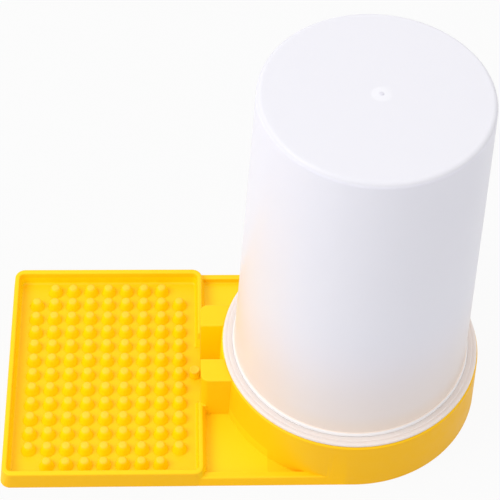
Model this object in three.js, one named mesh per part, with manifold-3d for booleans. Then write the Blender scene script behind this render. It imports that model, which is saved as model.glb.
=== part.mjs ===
// Bee feeder. A water cup stands upside down in a flanged screw lid, and the lid hangs in the
// round well of a flat base. Water runs from the lid through the well and a short channel into
// a low studded tray, which slides into a hive entrance until two stops meet the hive wall.
// Millimetres, +Z up. The origin is on the ground under the axis of the cup, the tray lies
// towards -X, and the part is symmetric about the XZ plane apart from its screw thread.

import * as THREE from 'three';
import { mergeVertices } from 'three/addons/utils/BufferGeometryUtils.js';
import Module from 'manifold-3d';

const wasm = await Module();
wasm.setup();

// How finely round shapes are divided
const ROUND_STEPS = 64;
const CORNER_STEPS = 3;
const STUD_SIDES = 8;
const BOSS_SIDES = 12;
const THREAD_STEPS_PER_TURN = 48;

// Clearances that more than one piece uses
const SEAT_GAP = 0.3;
const FIT_GAP = 0.4;
const OVERRUN = 1;

// Cup: the diameter below follows its outer wall where that wall meets the lid
const CUP_RADIUS = 60.1;
const CUP_TAPER = 5.95;
const CUP_BODY_HEIGHT = 180.3;
const CUP_WALL = 1.5;
const CUP_END_WALL = 1.8;
const CUP_END_ROUND = 2.4;
const NECK_STEP = 1.1;
const NECK_WALL = 1.6;
const BEAD_LAP = 0.6;
const BEAD_HEIGHT = 1.1;
const SHOULDER_SLOPE = 0.7;

// Screw thread between the cup's neck and the lid's bore
const THREAD_DEPTH = 1.2;
const THREAD_PITCH = 5;
const THREAD_ROOT_WIDTH = 2;
const THREAD_CREST_WIDTH = 1;
const THREAD_TURNS = 1.5;
const THREAD_RUNOUT_TURNS = 0.12;
const THREAD_END_DEPTH = 0.2;
const THREAD_BURY = 0.5;
const THREAD_START = 5;

// Screw lid
const LID_WALL = 1.8;
const LID_FLOOR = 1.8;
const LID_EDGE_CHAMFER = 1.5;
const FLANGE_THICKNESS = 2.1;
const FLANGE_SETBACK = 0.6;
const FLANGE_EDGE_CHAMFER = 0.5;
const SPIGOT_HEIGHT = 4;
const OUTLET_HOLE_RADIUS = 5;

// Seal ring
const SEAL_THICKNESS = 1.6;
const SEAL_WIDTH = 3.2;

// Base: floor, ring and low rim
const BASE_FLOOR = 2;
const WATER_GAP = 4.3;
const WELL_PLAY = 1.8;
const RING_WALL = 2.6;
const RING_HEIGHT = 31;
const RING_LEAN = 1.2;
const RIM_HEIGHT = 5.1;
const RIM_LEAN = 1.6;
const RIM_WIDTH = 3.4;

// Base: drinking tray
const TRAY_GAP = 8.5;
const TRAY_LENGTH = 101.7;
const TRAY_HEIGHT = 9.5;
const TRAY_END_RIM_WIDTH = 2.3;
const TRAY_SIDE_RIM_WIDTH = 2.9;
const TRAY_OUTER_LEAN = 1.3;
const TRAY_NEAR_LEAN = 2;
const TRAY_INNER_LEAN = 0.9;
const TRAY_CORNER_RADIUS = 5.2;

// Base: studs that bees stand on
const STUD_PITCH_X = 9.65;
const STUD_PITCH_Y = 9.37;
const STUD_MARGIN = 2;
const STUD_RADIUS = 3.6;
const STUD_SHOULDER_RADIUS = 2.5;
const STUD_SHOULDER_HEIGHT = 4.3;
const STUD_TOP_RADIUS = 1.7;
const STUD_HEIGHT = 5.3;

// Base: stops against the hive, water channel and moulding boss
const STOP_GAP = 21.2;
const STOP_WIDTH = 14.2;
const STOP_CORNER_RADIUS = 4.1;
const STOP_OVERHANG = 1.1;
const STOP_WALL = 2.2;
const NOTCH_LAP = 1.8;
const OUTLET_WIDTH = 12;
const OUTLET_HEIGHT = 8;
const BOSS_RADIUS = 3.7;
const BOSS_HEIGHT = 5.6;
const BOSS_TOP_CHAMFER = 0.6;
const BOSS_SETBACK = 3;

// Radii from the cup outwards
const NECK_RADIUS = CUP_RADIUS - NECK_STEP;
const LID_BORE_RADIUS = NECK_RADIUS + THREAD_DEPTH + FIT_GAP;
const LID_RADIUS = LID_BORE_RADIUS + LID_WALL;
const WELL_RADIUS = LID_RADIUS + WELL_PLAY;
const RING_TOP_RADIUS = WELL_RADIUS + RING_WALL;
const FOOT_RADIUS = RING_TOP_RADIUS + RING_LEAN;

// Heights from the ground upwards
const LID_LOW = BASE_FLOOR + WATER_GAP;
const LID_FLOOR_TOP = LID_LOW + LID_FLOOR;
const SEAL_LOW = LID_FLOOR_TOP + SEAT_GAP;
const MOUTH_LOW = SEAL_LOW + SEAL_THICKNESS + SEAT_GAP;
const FLANGE_LOW = RING_HEIGHT + SEAT_GAP;
const FLANGE_TOP = FLANGE_LOW + FLANGE_THICKNESS;
const BEAD_LOW = FLANGE_TOP + SEAT_GAP;
const CUP_TOP = BEAD_LOW + CUP_BODY_HEIGHT;
const CUP_THREAD_LOW = MOUTH_LOW + THREAD_START;

// Places along the tray's length, all on the -X side
const TRAY_NEAR_X = -(FOOT_RADIUS + TRAY_GAP);
const TRAY_FAR_X = TRAY_NEAR_X - TRAY_LENGTH;
const TRAY_HALF_WIDTH = FOOT_RADIUS - TRAY_OUTER_LEAN;
const STOP_FACE_X = TRAY_NEAR_X - STOP_OVERHANG;
const STOP_INNER_Y = STOP_GAP / 2;
const STOP_OUTER_Y = STOP_INNER_Y + STOP_WIDTH;

// Turns a closed geometry into a solid for cutting and joining
function toSolid(geometry) {
  const bare = geometry.index ? geometry.toNonIndexed() : geometry.clone();
  bare.deleteAttribute('normal');
  bare.deleteAttribute('uv');
  const merged = mergeVertices(bare);
  const points = merged.attributes.position;
  const corners = [];
  for (let i = 0; i < merged.index.count; i += 3) {
    const [a, b, c] = [0, 1, 2].map((k) => merged.index.getX(i + k));
    if (a !== b && b !== c && c !== a) {
      corners.push([a, b, c]);
    }
  }
  const at = (i) => new THREE.Vector3().fromBufferAttribute(points, i);
  let volume = 0;
  for (const [a, b, c] of corners) {
    volume += at(a).dot(at(b).cross(at(c)));
  }
  const outward = volume > 0 ? corners : corners.map(([a, b, c]) => [a, c, b]);
  return new wasm.Manifold(new wasm.Mesh({
    numProp: 3,
    vertProperties: new Float32Array(points.array),
    triVerts: new Uint32Array(outward.flat()),
  }));
}

// Turns a solid back into a named mesh with its own material
function toMesh(name, solid, material) {
  const { vertProperties, triVerts } = solid.getMesh();
  const geometry = new THREE.BufferGeometry();
  geometry.setAttribute('position', new THREE.BufferAttribute(vertProperties, 3));
  geometry.setIndex(new THREE.BufferAttribute(triVerts, 1));
  const mesh = new THREE.Mesh(geometry, material);
  mesh.name = name;
  return mesh;
}

// Solid of revolution about the Z axis from [radius, height] pairs
function revolve(pairs, steps = ROUND_STEPS) {
  const profile = pairs.map(([radius, height]) => new THREE.Vector2(radius, height));
  const lathe = new THREE.LatheGeometry(profile, steps);
  return toSolid(lathe.rotateX(Math.PI / 2));
}

function box(lowX, highX, lowY, highY, lowZ, highZ) {
  const block = new THREE.BoxGeometry(highX - lowX, highY - lowY, highZ - lowZ);
  block.translate((lowX + highX) / 2, (lowY + highY) / 2, (lowZ + highZ) / 2);
  return toSolid(block);
}

// Outline of a rectangle with one radius for each corner, from low X and low Y round
function roundedOutline(lowX, highX, lowY, highY, [r1, r2, r3, r4]) {
  const quarter = Math.PI / 2;
  const shape = new THREE.Shape();
  const corner = (x, y, radius, turn) => {
    if (radius > 0) {
      shape.absarc(x, y, radius, turn, turn + quarter);
    } else {
      shape.lineTo(x, y);
    }
  };
  shape.moveTo(lowX, lowY + r1);
  corner(lowX + r1, lowY + r1, r1, 2 * quarter);
  corner(highX - r2, lowY + r2, r2, 3 * quarter);
  corner(highX - r3, highY - r3, r3, 0);
  corner(lowX + r4, highY - r4, r4, quarter);
  const points = shape.getPoints(CORNER_STEPS);
  return points.filter((point, i) => i === 0 || point.distanceTo(points[i - 1]) > 0);
}

// Closed solid between two outlines with the same number of points
function prism(lowOutline, lowZ, highOutline, highZ) {
  const count = lowOutline.length;
  const points = [
    ...lowOutline.map((p) => new THREE.Vector3(p.x, p.y, lowZ)),
    ...highOutline.map((p) => new THREE.Vector3(p.x, p.y, highZ)),
  ];
  const faces = [];
  for (const [a, b, c] of THREE.ShapeUtils.triangulateShape(lowOutline, [])) {
    faces.push([a, c, b]);
  }
  for (const [a, b, c] of THREE.ShapeUtils.triangulateShape(highOutline, [])) {
    faces.push([a + count, b + count, c + count]);
  }
  for (let i = 0; i < count; i += 1) {
    const next = (i + 1) % count;
    faces.push([i, next, next + count], [i, next + count, i + count]);
  }
  const geometry = new THREE.BufferGeometry();
  geometry.setFromPoints(faces.flat().map((i) => points[i]));
  return toSolid(geometry);
}

// Tapered ridge on a helix about the Z axis, standing from a wall of radius root out to crest
function threadRidge(root, crest, startZ) {
  const inwards = Math.sign(root - crest);
  const stations = Math.round(THREAD_TURNS * THREAD_STEPS_PER_TURN);
  const section = (i) => {
    const turns = (THREAD_TURNS * i) / stations;
    const runout = Math.min(turns, THREAD_TURNS - turns) / THREAD_RUNOUT_TURNS;
    const lowest = THREAD_END_DEPTH / THREAD_DEPTH;
    const height = Math.min(1, lowest + (1 - lowest) * runout);
    const radius = root + (crest - root) * height;
    const middle = startZ + THREAD_PITCH * turns;
    const angle = 2 * Math.PI * turns;
    const place = (r, z) => new THREE.Vector3(r * Math.cos(angle), r * Math.sin(angle), z);
    const buried = root + inwards * THREAD_BURY;
    return [
      place(buried, middle - THREAD_ROOT_WIDTH / 2),
      place(radius, middle - THREAD_CREST_WIDTH / 2),
      place(radius, middle + THREAD_CREST_WIDTH / 2),
      place(buried, middle + THREAD_ROOT_WIDTH / 2),
    ];
  };
  const corners = [];
  const quad = (a, b, c, d) => corners.push(a, b, c, a, c, d);
  for (let i = 0; i < stations; i += 1) {
    const here = section(i);
    const next = section(i + 1);
    here.forEach((point, k) => {
      const k2 = (k + 1) % here.length;
      quad(point, here[k2], next[k2], next[k]);
    });
  }
  quad(...section(0).reverse());
  quad(...section(stations));
  return toSolid(new THREE.BufferGeometry().setFromPoints(corners));
}

// Low plate between the tray and the ring, with its raised rim along both sides
function connectingPlate() {
  const lowX = TRAY_NEAR_X - TRAY_END_RIM_WIDTH;
  const square = [0, 0, 0, 0];
  const topHalf = FOOT_RADIUS - RIM_LEAN;
  const pocketHalf = topHalf - RIM_WIDTH;
  const plate = prism(
    roundedOutline(lowX, 0, -FOOT_RADIUS, FOOT_RADIUS, square),
    0,
    roundedOutline(lowX, 0, -topHalf, topHalf, square),
    RIM_HEIGHT,
  );
  const pocket = box(
    lowX - OVERRUN,
    OVERRUN,
    -pocketHalf,
    pocketHalf,
    BASE_FLOOR,
    RIM_HEIGHT + OVERRUN,
  );
  return plate.subtract(pocket);
}

// Round wall that carries the lid, solid until the well is cut
function ringBody() {
  return revolve([
    [0, 0],
    [FOOT_RADIUS, 0],
    [RING_TOP_RADIUS, RING_HEIGHT],
    [0, RING_HEIGHT],
  ]);
}

function wellCut() {
  const top = RING_HEIGHT + OVERRUN;
  return revolve([[0, BASE_FLOOR], [WELL_RADIUS, BASE_FLOOR], [WELL_RADIUS, top], [0, top]]);
}

// One of the two blocks that meet the hive wall, on the side of +Y
function stopBlock() {
  const corners = [0, 0, 0, STOP_CORNER_RADIUS];
  const outline = roundedOutline(STOP_FACE_X, -CUP_RADIUS, STOP_INNER_Y, STOP_OUTER_Y, corners);
  return prism(outline, 0, outline, RING_HEIGHT);
}

// Space inside a stop, open to the ground, which leaves the ring's wall whole
function stopHollow() {
  const hollow = box(
    STOP_FACE_X + STOP_WALL,
    -CUP_RADIUS,
    STOP_INNER_Y + STOP_WALL,
    STOP_OUTER_Y - STOP_WALL,
    -OVERRUN,
    RING_HEIGHT - STOP_WALL,
  );
  const keep = revolve([
    [0, -2 * OVERRUN],
    [FOOT_RADIUS, -2 * OVERRUN],
    [FOOT_RADIUS, RING_HEIGHT],
    [0, RING_HEIGHT],
  ]);
  return hollow.subtract(keep);
}

function mirrored(solid) {
  return solid.mirror([0, 1, 0]);
}

// Tray walls and floor, leaning inwards on the outside and outwards on the inside
function trayShell() {
  const round = (radius) => [radius, radius, radius, radius];
  const outer = prism(
    roundedOutline(
      TRAY_FAR_X - TRAY_OUTER_LEAN,
      TRAY_NEAR_X + TRAY_NEAR_LEAN,
      -FOOT_RADIUS,
      FOOT_RADIUS,
      round(TRAY_CORNER_RADIUS),
    ),
    0,
    roundedOutline(
      TRAY_FAR_X,
      TRAY_NEAR_X,
      -TRAY_HALF_WIDTH,
      TRAY_HALF_WIDTH,
      round(TRAY_CORNER_RADIUS),
    ),
    TRAY_HEIGHT,
  );
  const inner = (lean) => roundedOutline(
    TRAY_FAR_X + TRAY_END_RIM_WIDTH + lean,
    TRAY_NEAR_X - TRAY_END_RIM_WIDTH - lean,
    -TRAY_HALF_WIDTH + TRAY_SIDE_RIM_WIDTH + lean,
    TRAY_HALF_WIDTH - TRAY_SIDE_RIM_WIDTH - lean,
    round(TRAY_CORNER_RADIUS - TRAY_SIDE_RIM_WIDTH),
  );
  const hollow = prism(inner(TRAY_INNER_LEAN), BASE_FLOOR, inner(0), TRAY_HEIGHT);
  const above = prism(inner(0), TRAY_HEIGHT, inner(0), TRAY_HEIGHT + OVERRUN);
  return outer.subtract(hollow.add(above));
}

// Gap in the tray wall in front of the stops, where the channel opens into the tray
function trayNotch() {
  const halfWidth = STOP_OUTER_Y - NOTCH_LAP;
  return box(
    TRAY_NEAR_X - TRAY_END_RIM_WIDTH - TRAY_INNER_LEAN - OVERRUN,
    TRAY_NEAR_X + TRAY_NEAR_LEAN + OVERRUN,
    -halfWidth,
    halfWidth,
    BASE_FLOOR,
    TRAY_HEIGHT + OVERRUN,
  );
}

// Studs on an even grid in the middle of the tray floor, without the four corners
function studs() {
  const clear = TRAY_INNER_LEAN + STUD_MARGIN + STUD_RADIUS;
  const lengthForStuds = TRAY_LENGTH - 2 * (TRAY_END_RIM_WIDTH + clear);
  const widthForStuds = 2 * (TRAY_HALF_WIDTH - TRAY_SIDE_RIM_WIDTH - clear);
  const columns = Math.floor(lengthForStuds / STUD_PITCH_X) + 1;
  const rows = Math.floor(widthForStuds / STUD_PITCH_Y) + 1;
  const centreX = (TRAY_NEAR_X + TRAY_FAR_X) / 2;
  const root = -BASE_FLOOR / 2;
  const stud = revolve([
    [0, root],
    [STUD_RADIUS, root],
    [STUD_RADIUS, 0],
    [STUD_SHOULDER_RADIUS, STUD_SHOULDER_HEIGHT],
    [STUD_TOP_RADIUS, STUD_HEIGHT],
    [0, STUD_HEIGHT],
  ], STUD_SIDES);
  const field = [];
  for (let column = 0; column < columns; column += 1) {
    for (let row = 0; row < rows; row += 1) {
      const endColumn = column === 0 || column === columns - 1;
      const endRow = row === 0 || row === rows - 1;
      if (!(endColumn && endRow)) {
        const x = centreX + (column - (columns - 1) / 2) * STUD_PITCH_X;
        const y = (row - (rows - 1) / 2) * STUD_PITCH_Y;
        field.push(stud.translate([x, y, BASE_FLOOR]));
      }
    }
  }
  return wasm.Manifold.union(field);
}

// Small round boss on the tray floor in the mouth of the channel
function mouthBoss() {
  const root = BASE_FLOOR / 2;
  const top = BASE_FLOOR + BOSS_HEIGHT;
  const boss = revolve([
    [0, root],
    [BOSS_RADIUS, root],
    [BOSS_RADIUS, top - BOSS_TOP_CHAMFER],
    [BOSS_RADIUS - BOSS_TOP_CHAMFER, top],
    [0, top],
  ], BOSS_SIDES);
  return boss.translate([STOP_FACE_X - BOSS_SETBACK, 0, 0]);
}

// Opening through the ring's wall at floor level, between the stops
function outletWindow() {
  return box(
    -FOOT_RADIUS - OVERRUN,
    -WELL_RADIUS + RING_WALL,
    -OUTLET_WIDTH / 2,
    OUTLET_WIDTH / 2,
    BASE_FLOOR,
    BASE_FLOOR + OUTLET_HEIGHT,
  );
}

function feederBase() {
  const tray = trayShell().subtract(trayNotch());
  const stop = stopBlock();
  const hollow = stopHollow();
  return connectingPlate()
    .add(ringBody())
    .add(tray)
    .add(stop)
    .add(mirrored(stop))
    .subtract(wellCut())
    .subtract(outletWindow())
    .subtract(hollow)
    .subtract(mirrored(hollow))
    .add(studs())
    .add(mouthBoss());
}

function screwLid() {
  const spigotRadius = WELL_RADIUS - FIT_GAP;
  const spigotLow = FLANGE_LOW - SPIGOT_HEIGHT;
  const flangeRadius = RING_TOP_RADIUS - FLANGE_SETBACK;
  const shell = revolve([
    [OUTLET_HOLE_RADIUS, LID_LOW],
    [LID_RADIUS - LID_EDGE_CHAMFER, LID_LOW],
    [LID_RADIUS, LID_LOW + LID_EDGE_CHAMFER],
    [LID_RADIUS, spigotLow],
    [spigotRadius, spigotLow],
    [spigotRadius, FLANGE_LOW],
    [flangeRadius, FLANGE_LOW],
    [flangeRadius, FLANGE_TOP - FLANGE_EDGE_CHAMFER],
    [flangeRadius - FLANGE_EDGE_CHAMFER, FLANGE_TOP],
    [LID_BORE_RADIUS, FLANGE_TOP],
    [LID_BORE_RADIUS, LID_FLOOR_TOP],
    [OUTLET_HOLE_RADIUS, LID_FLOOR_TOP],
    [OUTLET_HOLE_RADIUS, LID_LOW],
  ]);
  const crest = LID_BORE_RADIUS - THREAD_DEPTH;
  const ridgeLow = CUP_THREAD_LOW + THREAD_PITCH / 2;
  return shell.add(threadRidge(LID_BORE_RADIUS, crest, ridgeLow));
}

function sealRing() {
  const outer = LID_BORE_RADIUS - FIT_GAP;
  const inner = outer - SEAL_WIDTH;
  const top = SEAL_LOW + SEAL_THICKNESS;
  return revolve([[inner, SEAL_LOW], [outer, SEAL_LOW], [outer, top], [inner, top], [inner, SEAL_LOW]]);
}

// Closed shell that opens downwards: body, stop bead over the lid's bore, and threaded neck
function reservoirCup() {
  const endRadius = CUP_RADIUS - CUP_TAPER;
  const neckInner = NECK_RADIUS - NECK_WALL;
  const beadRadius = LID_BORE_RADIUS + BEAD_LAP;
  const beadTop = BEAD_LOW + BEAD_HEIGHT;
  const innerEnd = CUP_TOP - CUP_END_WALL;
  const innerShoulder = beadTop + SHOULDER_SLOPE;
  const shell = revolve([
    [0, innerEnd],
    [endRadius - CUP_WALL - CUP_END_ROUND, innerEnd],
    [endRadius - CUP_WALL, innerEnd - CUP_END_ROUND],
    [CUP_RADIUS - CUP_WALL, innerShoulder],
    [neckInner, innerShoulder - NECK_STEP],
    [neckInner, MOUTH_LOW],
    [NECK_RADIUS, MOUTH_LOW],
    [NECK_RADIUS, BEAD_LOW],
    [beadRadius, BEAD_LOW],
    [beadRadius, beadTop],
    [CUP_RADIUS, beadTop + SHOULDER_SLOPE],
    [endRadius, CUP_TOP - CUP_END_ROUND],
    [endRadius - CUP_END_ROUND / 4, CUP_TOP - CUP_END_ROUND / 4],
    [endRadius - CUP_END_ROUND, CUP_TOP],
    [0, CUP_TOP],
  ]);
  const crest = NECK_RADIUS + THREAD_DEPTH;
  return shell.add(threadRidge(NECK_RADIUS, crest, CUP_THREAD_LOW));
}

const yellowPlastic = new THREE.MeshStandardMaterial({
  name: 'yellow_plastic',
  color: 0xffcf1a,
  roughness: 0.38,
  metalness: 0,
});
const clearWhitePlastic = new THREE.MeshStandardMaterial({
  name: 'milky_cup_plastic',
  color: 0xeceaf0,
  roughness: 0.35,
  metalness: 0,
});
const lidPlastic = new THREE.MeshStandardMaterial({
  name: 'milky_lid_plastic',
  color: 0xf1ecec,
  roughness: 0.4,
  metalness: 0,
});
const sealRubber = new THREE.MeshStandardMaterial({
  name: 'seal_rubber',
  color: 0xd9d6cf,
  roughness: 0.7,
  metalness: 0,
});

const group = new THREE.Group();
group.add(
  toMesh('feeder_base', feederBase(), yellowPlastic),
  toMesh('screw_lid', screwLid(), lidPlastic),
  toMesh('seal_ring', sealRing(), sealRubber),
  toMesh('reservoir_cup', reservoirCup(), clearWhitePlastic),
);

export default group;
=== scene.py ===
import math

import bmesh
import bpy
from mathutils import Matrix, Vector


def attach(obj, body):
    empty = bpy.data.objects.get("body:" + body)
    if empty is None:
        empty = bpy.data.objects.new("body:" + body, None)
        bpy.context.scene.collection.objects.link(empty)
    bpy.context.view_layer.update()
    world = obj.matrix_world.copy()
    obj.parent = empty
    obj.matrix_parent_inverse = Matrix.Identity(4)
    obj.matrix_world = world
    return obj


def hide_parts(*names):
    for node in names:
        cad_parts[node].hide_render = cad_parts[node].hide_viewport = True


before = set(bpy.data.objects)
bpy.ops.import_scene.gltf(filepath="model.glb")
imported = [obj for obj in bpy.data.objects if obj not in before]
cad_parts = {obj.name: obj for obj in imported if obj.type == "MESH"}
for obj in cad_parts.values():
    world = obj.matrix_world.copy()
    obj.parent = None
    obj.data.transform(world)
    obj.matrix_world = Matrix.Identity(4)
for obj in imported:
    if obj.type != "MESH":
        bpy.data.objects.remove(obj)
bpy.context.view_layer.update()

# Every length below is in millimetres, and a finished mesh is scaled to metres
METRE = 0.001
FULL_TURN = 2 * math.pi
MERGE = 0.0001
CLEAN_UP = 0.001
OVERRUN = 1.0
SHARP_DEGREES = 30

# Steps that a full circle, an edge or a corner is rounded in
ROUND_STEPS = 160
SMALL_EDGE_STEPS = 3
EDGE_STEPS = 4
RING_EDGE_STEPS = 5
CUP_EDGE_STEPS = 6
CORNER_STEPS = 8

# Cup, from the closed end down to its mouth
CUP_END_Z = 214.0
CUP_END_RADIUS = 54.15
CUP_END_ROUNDING = 2.5
CUP_FOOT_RADIUS = 60.1
CUP_FOOT_Z = 35.5
CUP_WALL = 1.5
CUP_END_WALL = 1.8
BEAD_RADIUS = 61.2
BEAD_LOW = 33.46
BEAD_TOP = 34.8
BEAD_ROUNDING = 1.0
BEAD_UNDER_ROUNDING = 0.12
NECK_RADIUS = 59.0
NECK_INNER_RADIUS = 57.4
MOUTH_Z = 10.3
MOUTH_ROUNDING = 0.5

# Mould mark on the cup's end, a low swelling with a pip on it
GATE_X = 1.8
GATE_Y = 0.5
GATE_RADIUS = 4.9
GATE_SWELL = 0.25
GATE_PIP_RADIUS = 1.2
GATE_PIP_HEIGHT = 0.35
GATE_STEPS = 36
GATE_SWELL_SHARES = [(1.0, 0.0), (0.8, 0.45), (0.5, 0.85)]
GATE_PIP_SHARES = [(1.0, 0.0), (0.75, 0.75), (0.35, 1.0)]

# Screw lid
LID_BORE_RADIUS = 60.6
LID_RADIUS = 62.4
LID_LOW = 6.3
LID_FLOOR_TOP = 8.1
LID_EDGE_ROUNDING = 1.4
LID_HOLE_RADIUS = 5.0
LID_SMALL_ROUNDING = 0.3
SPIGOT_RADIUS = 63.8
SPIGOT_LOW = 27.3
FLANGE_RADIUS = 66.2
FLANGE_LOW = 31.3
FLANGE_TOP = 33.4
FLANGE_ROUNDING = 1.1
FLANGE_UNDER_ROUNDING = 0.35
FLANGE_LIP_RADIUS = 63.5
FLANGE_LIP_HEIGHT = 0.35
FLANGE_LIP_ROUNDING = 0.2

# Seal ring
SEAL_INNER_RADIUS = 57.0
SEAL_OUTER_RADIUS = 60.2
SEAL_LOW = 8.4
SEAL_TOP = 10.0
SEAL_ROUNDING = 0.5
SEAL_SHARP_DEGREES = 60

# Screw thread
THREAD_DEPTH = 1.2
THREAD_PITCH = 5.0
THREAD_ROOT_WIDTH = 2.0
THREAD_CREST_WIDTH = 1.0
THREAD_TURNS = 1.5
THREAD_STEPS_PER_TURN = 48
THREAD_RUNOUT_STEPS = 6
THREAD_BURY = 0.5
CUP_THREAD_LOW = 15.3
LID_THREAD_LOW = 17.8

# Base: floor, ring wall and the low rims beside it
FLOOR_Z = 2.0
FLOOR_FILLET = 0.8
FOOT_ROUNDING = 0.25
WELL_RADIUS = 64.2
RING_TOP_RADIUS = 66.8
RING_FOOT_RADIUS = 68.0
RING_TOP_Z = 31.0
RING_TOP_ROUNDING = 1.3
RING_LIP_ROUNDING = 0.5
RING_LIP_BLEND = 0.17
RIM_TOP_Z = 5.1
RIM_LEAN = 1.6
RIM_WIDTH = 3.4
RIM_ROUNDING = 0.9
POCKET_HALF_WIDTH = RING_FOOT_RADIUS - RIM_LEAN - RIM_WIDTH
BASE_SHARP_DEGREES = 35

# Base: drinking tray
TRAY_FAR_X = -178.2
TRAY_NEAR_X = -76.5
TRAY_HALF_WIDTH = 66.7
TRAY_TOP_Z = 9.5
TRAY_END_RIM = 2.3
TRAY_SIDE_RIM = 2.9
TRAY_INNER_FAR_X = TRAY_FAR_X + TRAY_END_RIM
TRAY_INNER_NEAR_X = TRAY_NEAR_X - TRAY_END_RIM
TRAY_INNER_HALF_WIDTH = TRAY_HALF_WIDTH - TRAY_SIDE_RIM
TRAY_OUTER_LEAN = 1.3
TRAY_NEAR_LEAN = 2.0
TRAY_INNER_LEAN = 0.9
TRAY_CORNER_RADIUS = 5.2
TRAY_RIM_ROUNDING = 0.7
TRAY_FLOOR_FILLET = 1.2
TRAY_FOLD_DEGREES = 20
NOTCH_HALF_WIDTH = 23.0
NOTCH_END_SLOPE = 5.0
RIM_EAR_X = -74.6
RIM_EAR_WIDTH = 3.0
RIM_EAR_LAP = 1.0

# Base: studs that bees stand on
STUD_COLUMNS = 9
STUD_ROWS = 13
STUD_PITCH_X = 9.65
STUD_PITCH_Y = 9.37
STUD_CENTRE_X = -127.35
STUD_SIDES = 12
STUD_ROOT = 0.4
STUD_HEIGHT = 5.3
STUD_FOOT_RADIUS = 4.4
STUD_OUTLINE = [
    (0.0, -STUD_ROOT),
    (STUD_FOOT_RADIUS, -STUD_ROOT),
    (3.6, 0.9),
    (2.8, 3.8),
    (2.15, 4.8),
    (1.35, STUD_HEIGHT - 0.15),
    (0.0, STUD_HEIGHT - 0.35),
]

# Base: stops, outlet and moulding boss
STOP_FACE_X = -77.6
STOP_ROOT_X = -60.1
STOP_INNER_Y = 10.6
STOP_OUTER_Y = 24.8
STOP_CORNER_RADIUS = 4.1
STOP_EDGE_ROUNDING = 0.45
STOP_WALL = 2.2
OUTLET_HALF_WIDTH = 6.0
OUTLET_TOP_Z = 10.0
BOSS_X = -80.6
BOSS_RADIUS = 2.9
BOSS_TOP_Z = 7.6
BOSS_LEAN = 0.2
BOSS_ROUNDING = 0.8
BOSS_DISH_RADIUS = 1.6
BOSS_DISH_DEPTH = 0.35
BOSS_DISH_ROUNDING = 0.6
BOSS_STEPS = 32

# Where the cup's colour changes: its painted glow near the foot, painted light in the bead's crease,
# painted shade on the end and the pip, and the bead's and gate's own tints
CUP_WARM_FROM_Z = 115.0
CUP_WARMER_FROM_Z = 50.0
CUP_WARMEST_Z = 36.0
BEAD_TINT_FROM_Z = 35.3
BEAD_TINT_Z = 35.0
BEAD_CREASE_Z = 33.9
BEAD_CREASE_BLUR = 0.3
END_TINT_FROM_Z = 211.0
END_TINT_Z = 212.6
GATE_TINT_OUTER = 5.5
GATE_TINT_INNER = 3.8
PIP_TINT_OUTER = 1.6
PIP_TINT_INNER = 0.8

# Where the painted light and shade on the base begin and end
TRAY_BLUR = 0.6
STUD_SIDE_LOW_Z = 2.9
STUD_SIDE_HIGH_Z = 6.0
STUD_SIDE_BLUR = 0.9
STUD_TOP_FROM_Z = 6.4
STUD_TOP_Z = 7.0
SLOT_BLUR = 0.3
POCKET_BLUR = 0.5
POCKET_END_X = -44.0
POCKET_TOP_Z = 8.0
OUTER_WALL_FROM = 66.1
OUTER_WALL_TO = 66.7
OUTER_RING_FROM_X = -45.0
OUTER_RING_TO_X = -10.0

# How wide the patches in each finish are, how deep its grain is and how far light gets in
YELLOW_DRIFT_SIZE = 45
YELLOW_HAZE_SIZE = 6
YELLOW_SKIN_SIZE = 0.7
CUP_CLOUD_SIZE = 38
CUP_HAZE_SIZE = 4
LID_CLOUD_SIZE = 20
MILKY_SKIN_SIZE = 0.6
RUBBER_GRAIN_SIZE = 1.5
FLOOR_GRAIN_SIZE = 3
SKIN_DEPTH = 0.03
RUBBER_GRAIN_DEPTH = 0.05
CUP_GLOW_DEPTH = 1.5
LID_GLOW_DEPTH = 2

# How much of a tint shows, as a share, and between which values of the noise
HAZE_TINT_FROM = 0.35
HAZE_TINT_FULL = 0.85
HAZE_TINT_SHARE = 0.15
HAZE_GLOSS_FROM = 0.2
HAZE_GLOSS_FULL = 0.8
STUD_TOP_SHEEN_SHARE = 0.4
# Shares of the painted yellow glow near the cup's foot
CUP_WARM_SHARE = 0.75
CUP_WARMER_SHARE = 0.25
GATE_TINT_SHARE = 0.16

# Camera, lamp and floor, also in millimetres
CAMERA_PLACE = (-86.95, -572.74, 792.88)
CAMERA_AHEAD = (0.0507, 0.6433, -0.7639)
CAMERA_RIGHT = (0.99871, -0.03466, 0.03710)
CAMERA_LENS = 131.87
CAMERA_SENSOR = 36.0
CAMERA_SHIFT = (-0.0508, -0.0185)
CAMERA_REACH = 20000
KEY_PLACE = (-1100, -250, 1300)
KEY_TARGET = (-60, 0, 50)
KEY_SIZE = 900
KEY_POWER = 10.0
WORLD_STRENGTH = 0.98
SEEN_WHITE_SHARE = 0.93
FLOOR_REACH = 6000


# Mesh helpers

def unrounded(outline):
    """An outline of (radius, height) points as a profile with sharp corners."""
    return [(radius, height, 0) for radius, height in outline]


def line_of(bm, profile):
    """A chain of edges in the XZ plane from (radius, height, rounding) corners."""
    corners = [bm.verts.new((radius, 0.0, height)) for radius, height, _ in profile]
    for here, there in zip(corners, corners[1:]):
        bm.edges.new((here, there))
    return corners


def round_corners(bm, corners, profile, segments):
    """Rounds each corner of the chain by the amount that its profile entry gives."""
    for amount in sorted({entry[2] for entry in profile} - {0}):
        picked = [c for c, entry in zip(corners, profile) if entry[2] == amount]
        bmesh.ops.bevel(
            bm, geom=picked, offset=amount, offset_type="OFFSET", affect="VERTICES",
            segments=segments, profile=0.5, material=-1,
        )


def turned(profile, steps=ROUND_STEPS, segments=EDGE_STEPS, closed=False):
    """A solid of revolution about the Z axis."""
    bm = bmesh.new()
    corners = line_of(bm, profile)
    if closed:
        bm.edges.new((corners[-1], corners[0]))
    round_corners(bm, corners, profile, segments)
    bmesh.ops.spin(
        bm, geom=bm.verts[:] + bm.edges[:], cent=(0, 0, 0), axis=(0, 0, 1),
        angle=FULL_TURN, steps=steps, use_merge=True, use_duplicate=False,
    )
    return tidied(bm)


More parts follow.
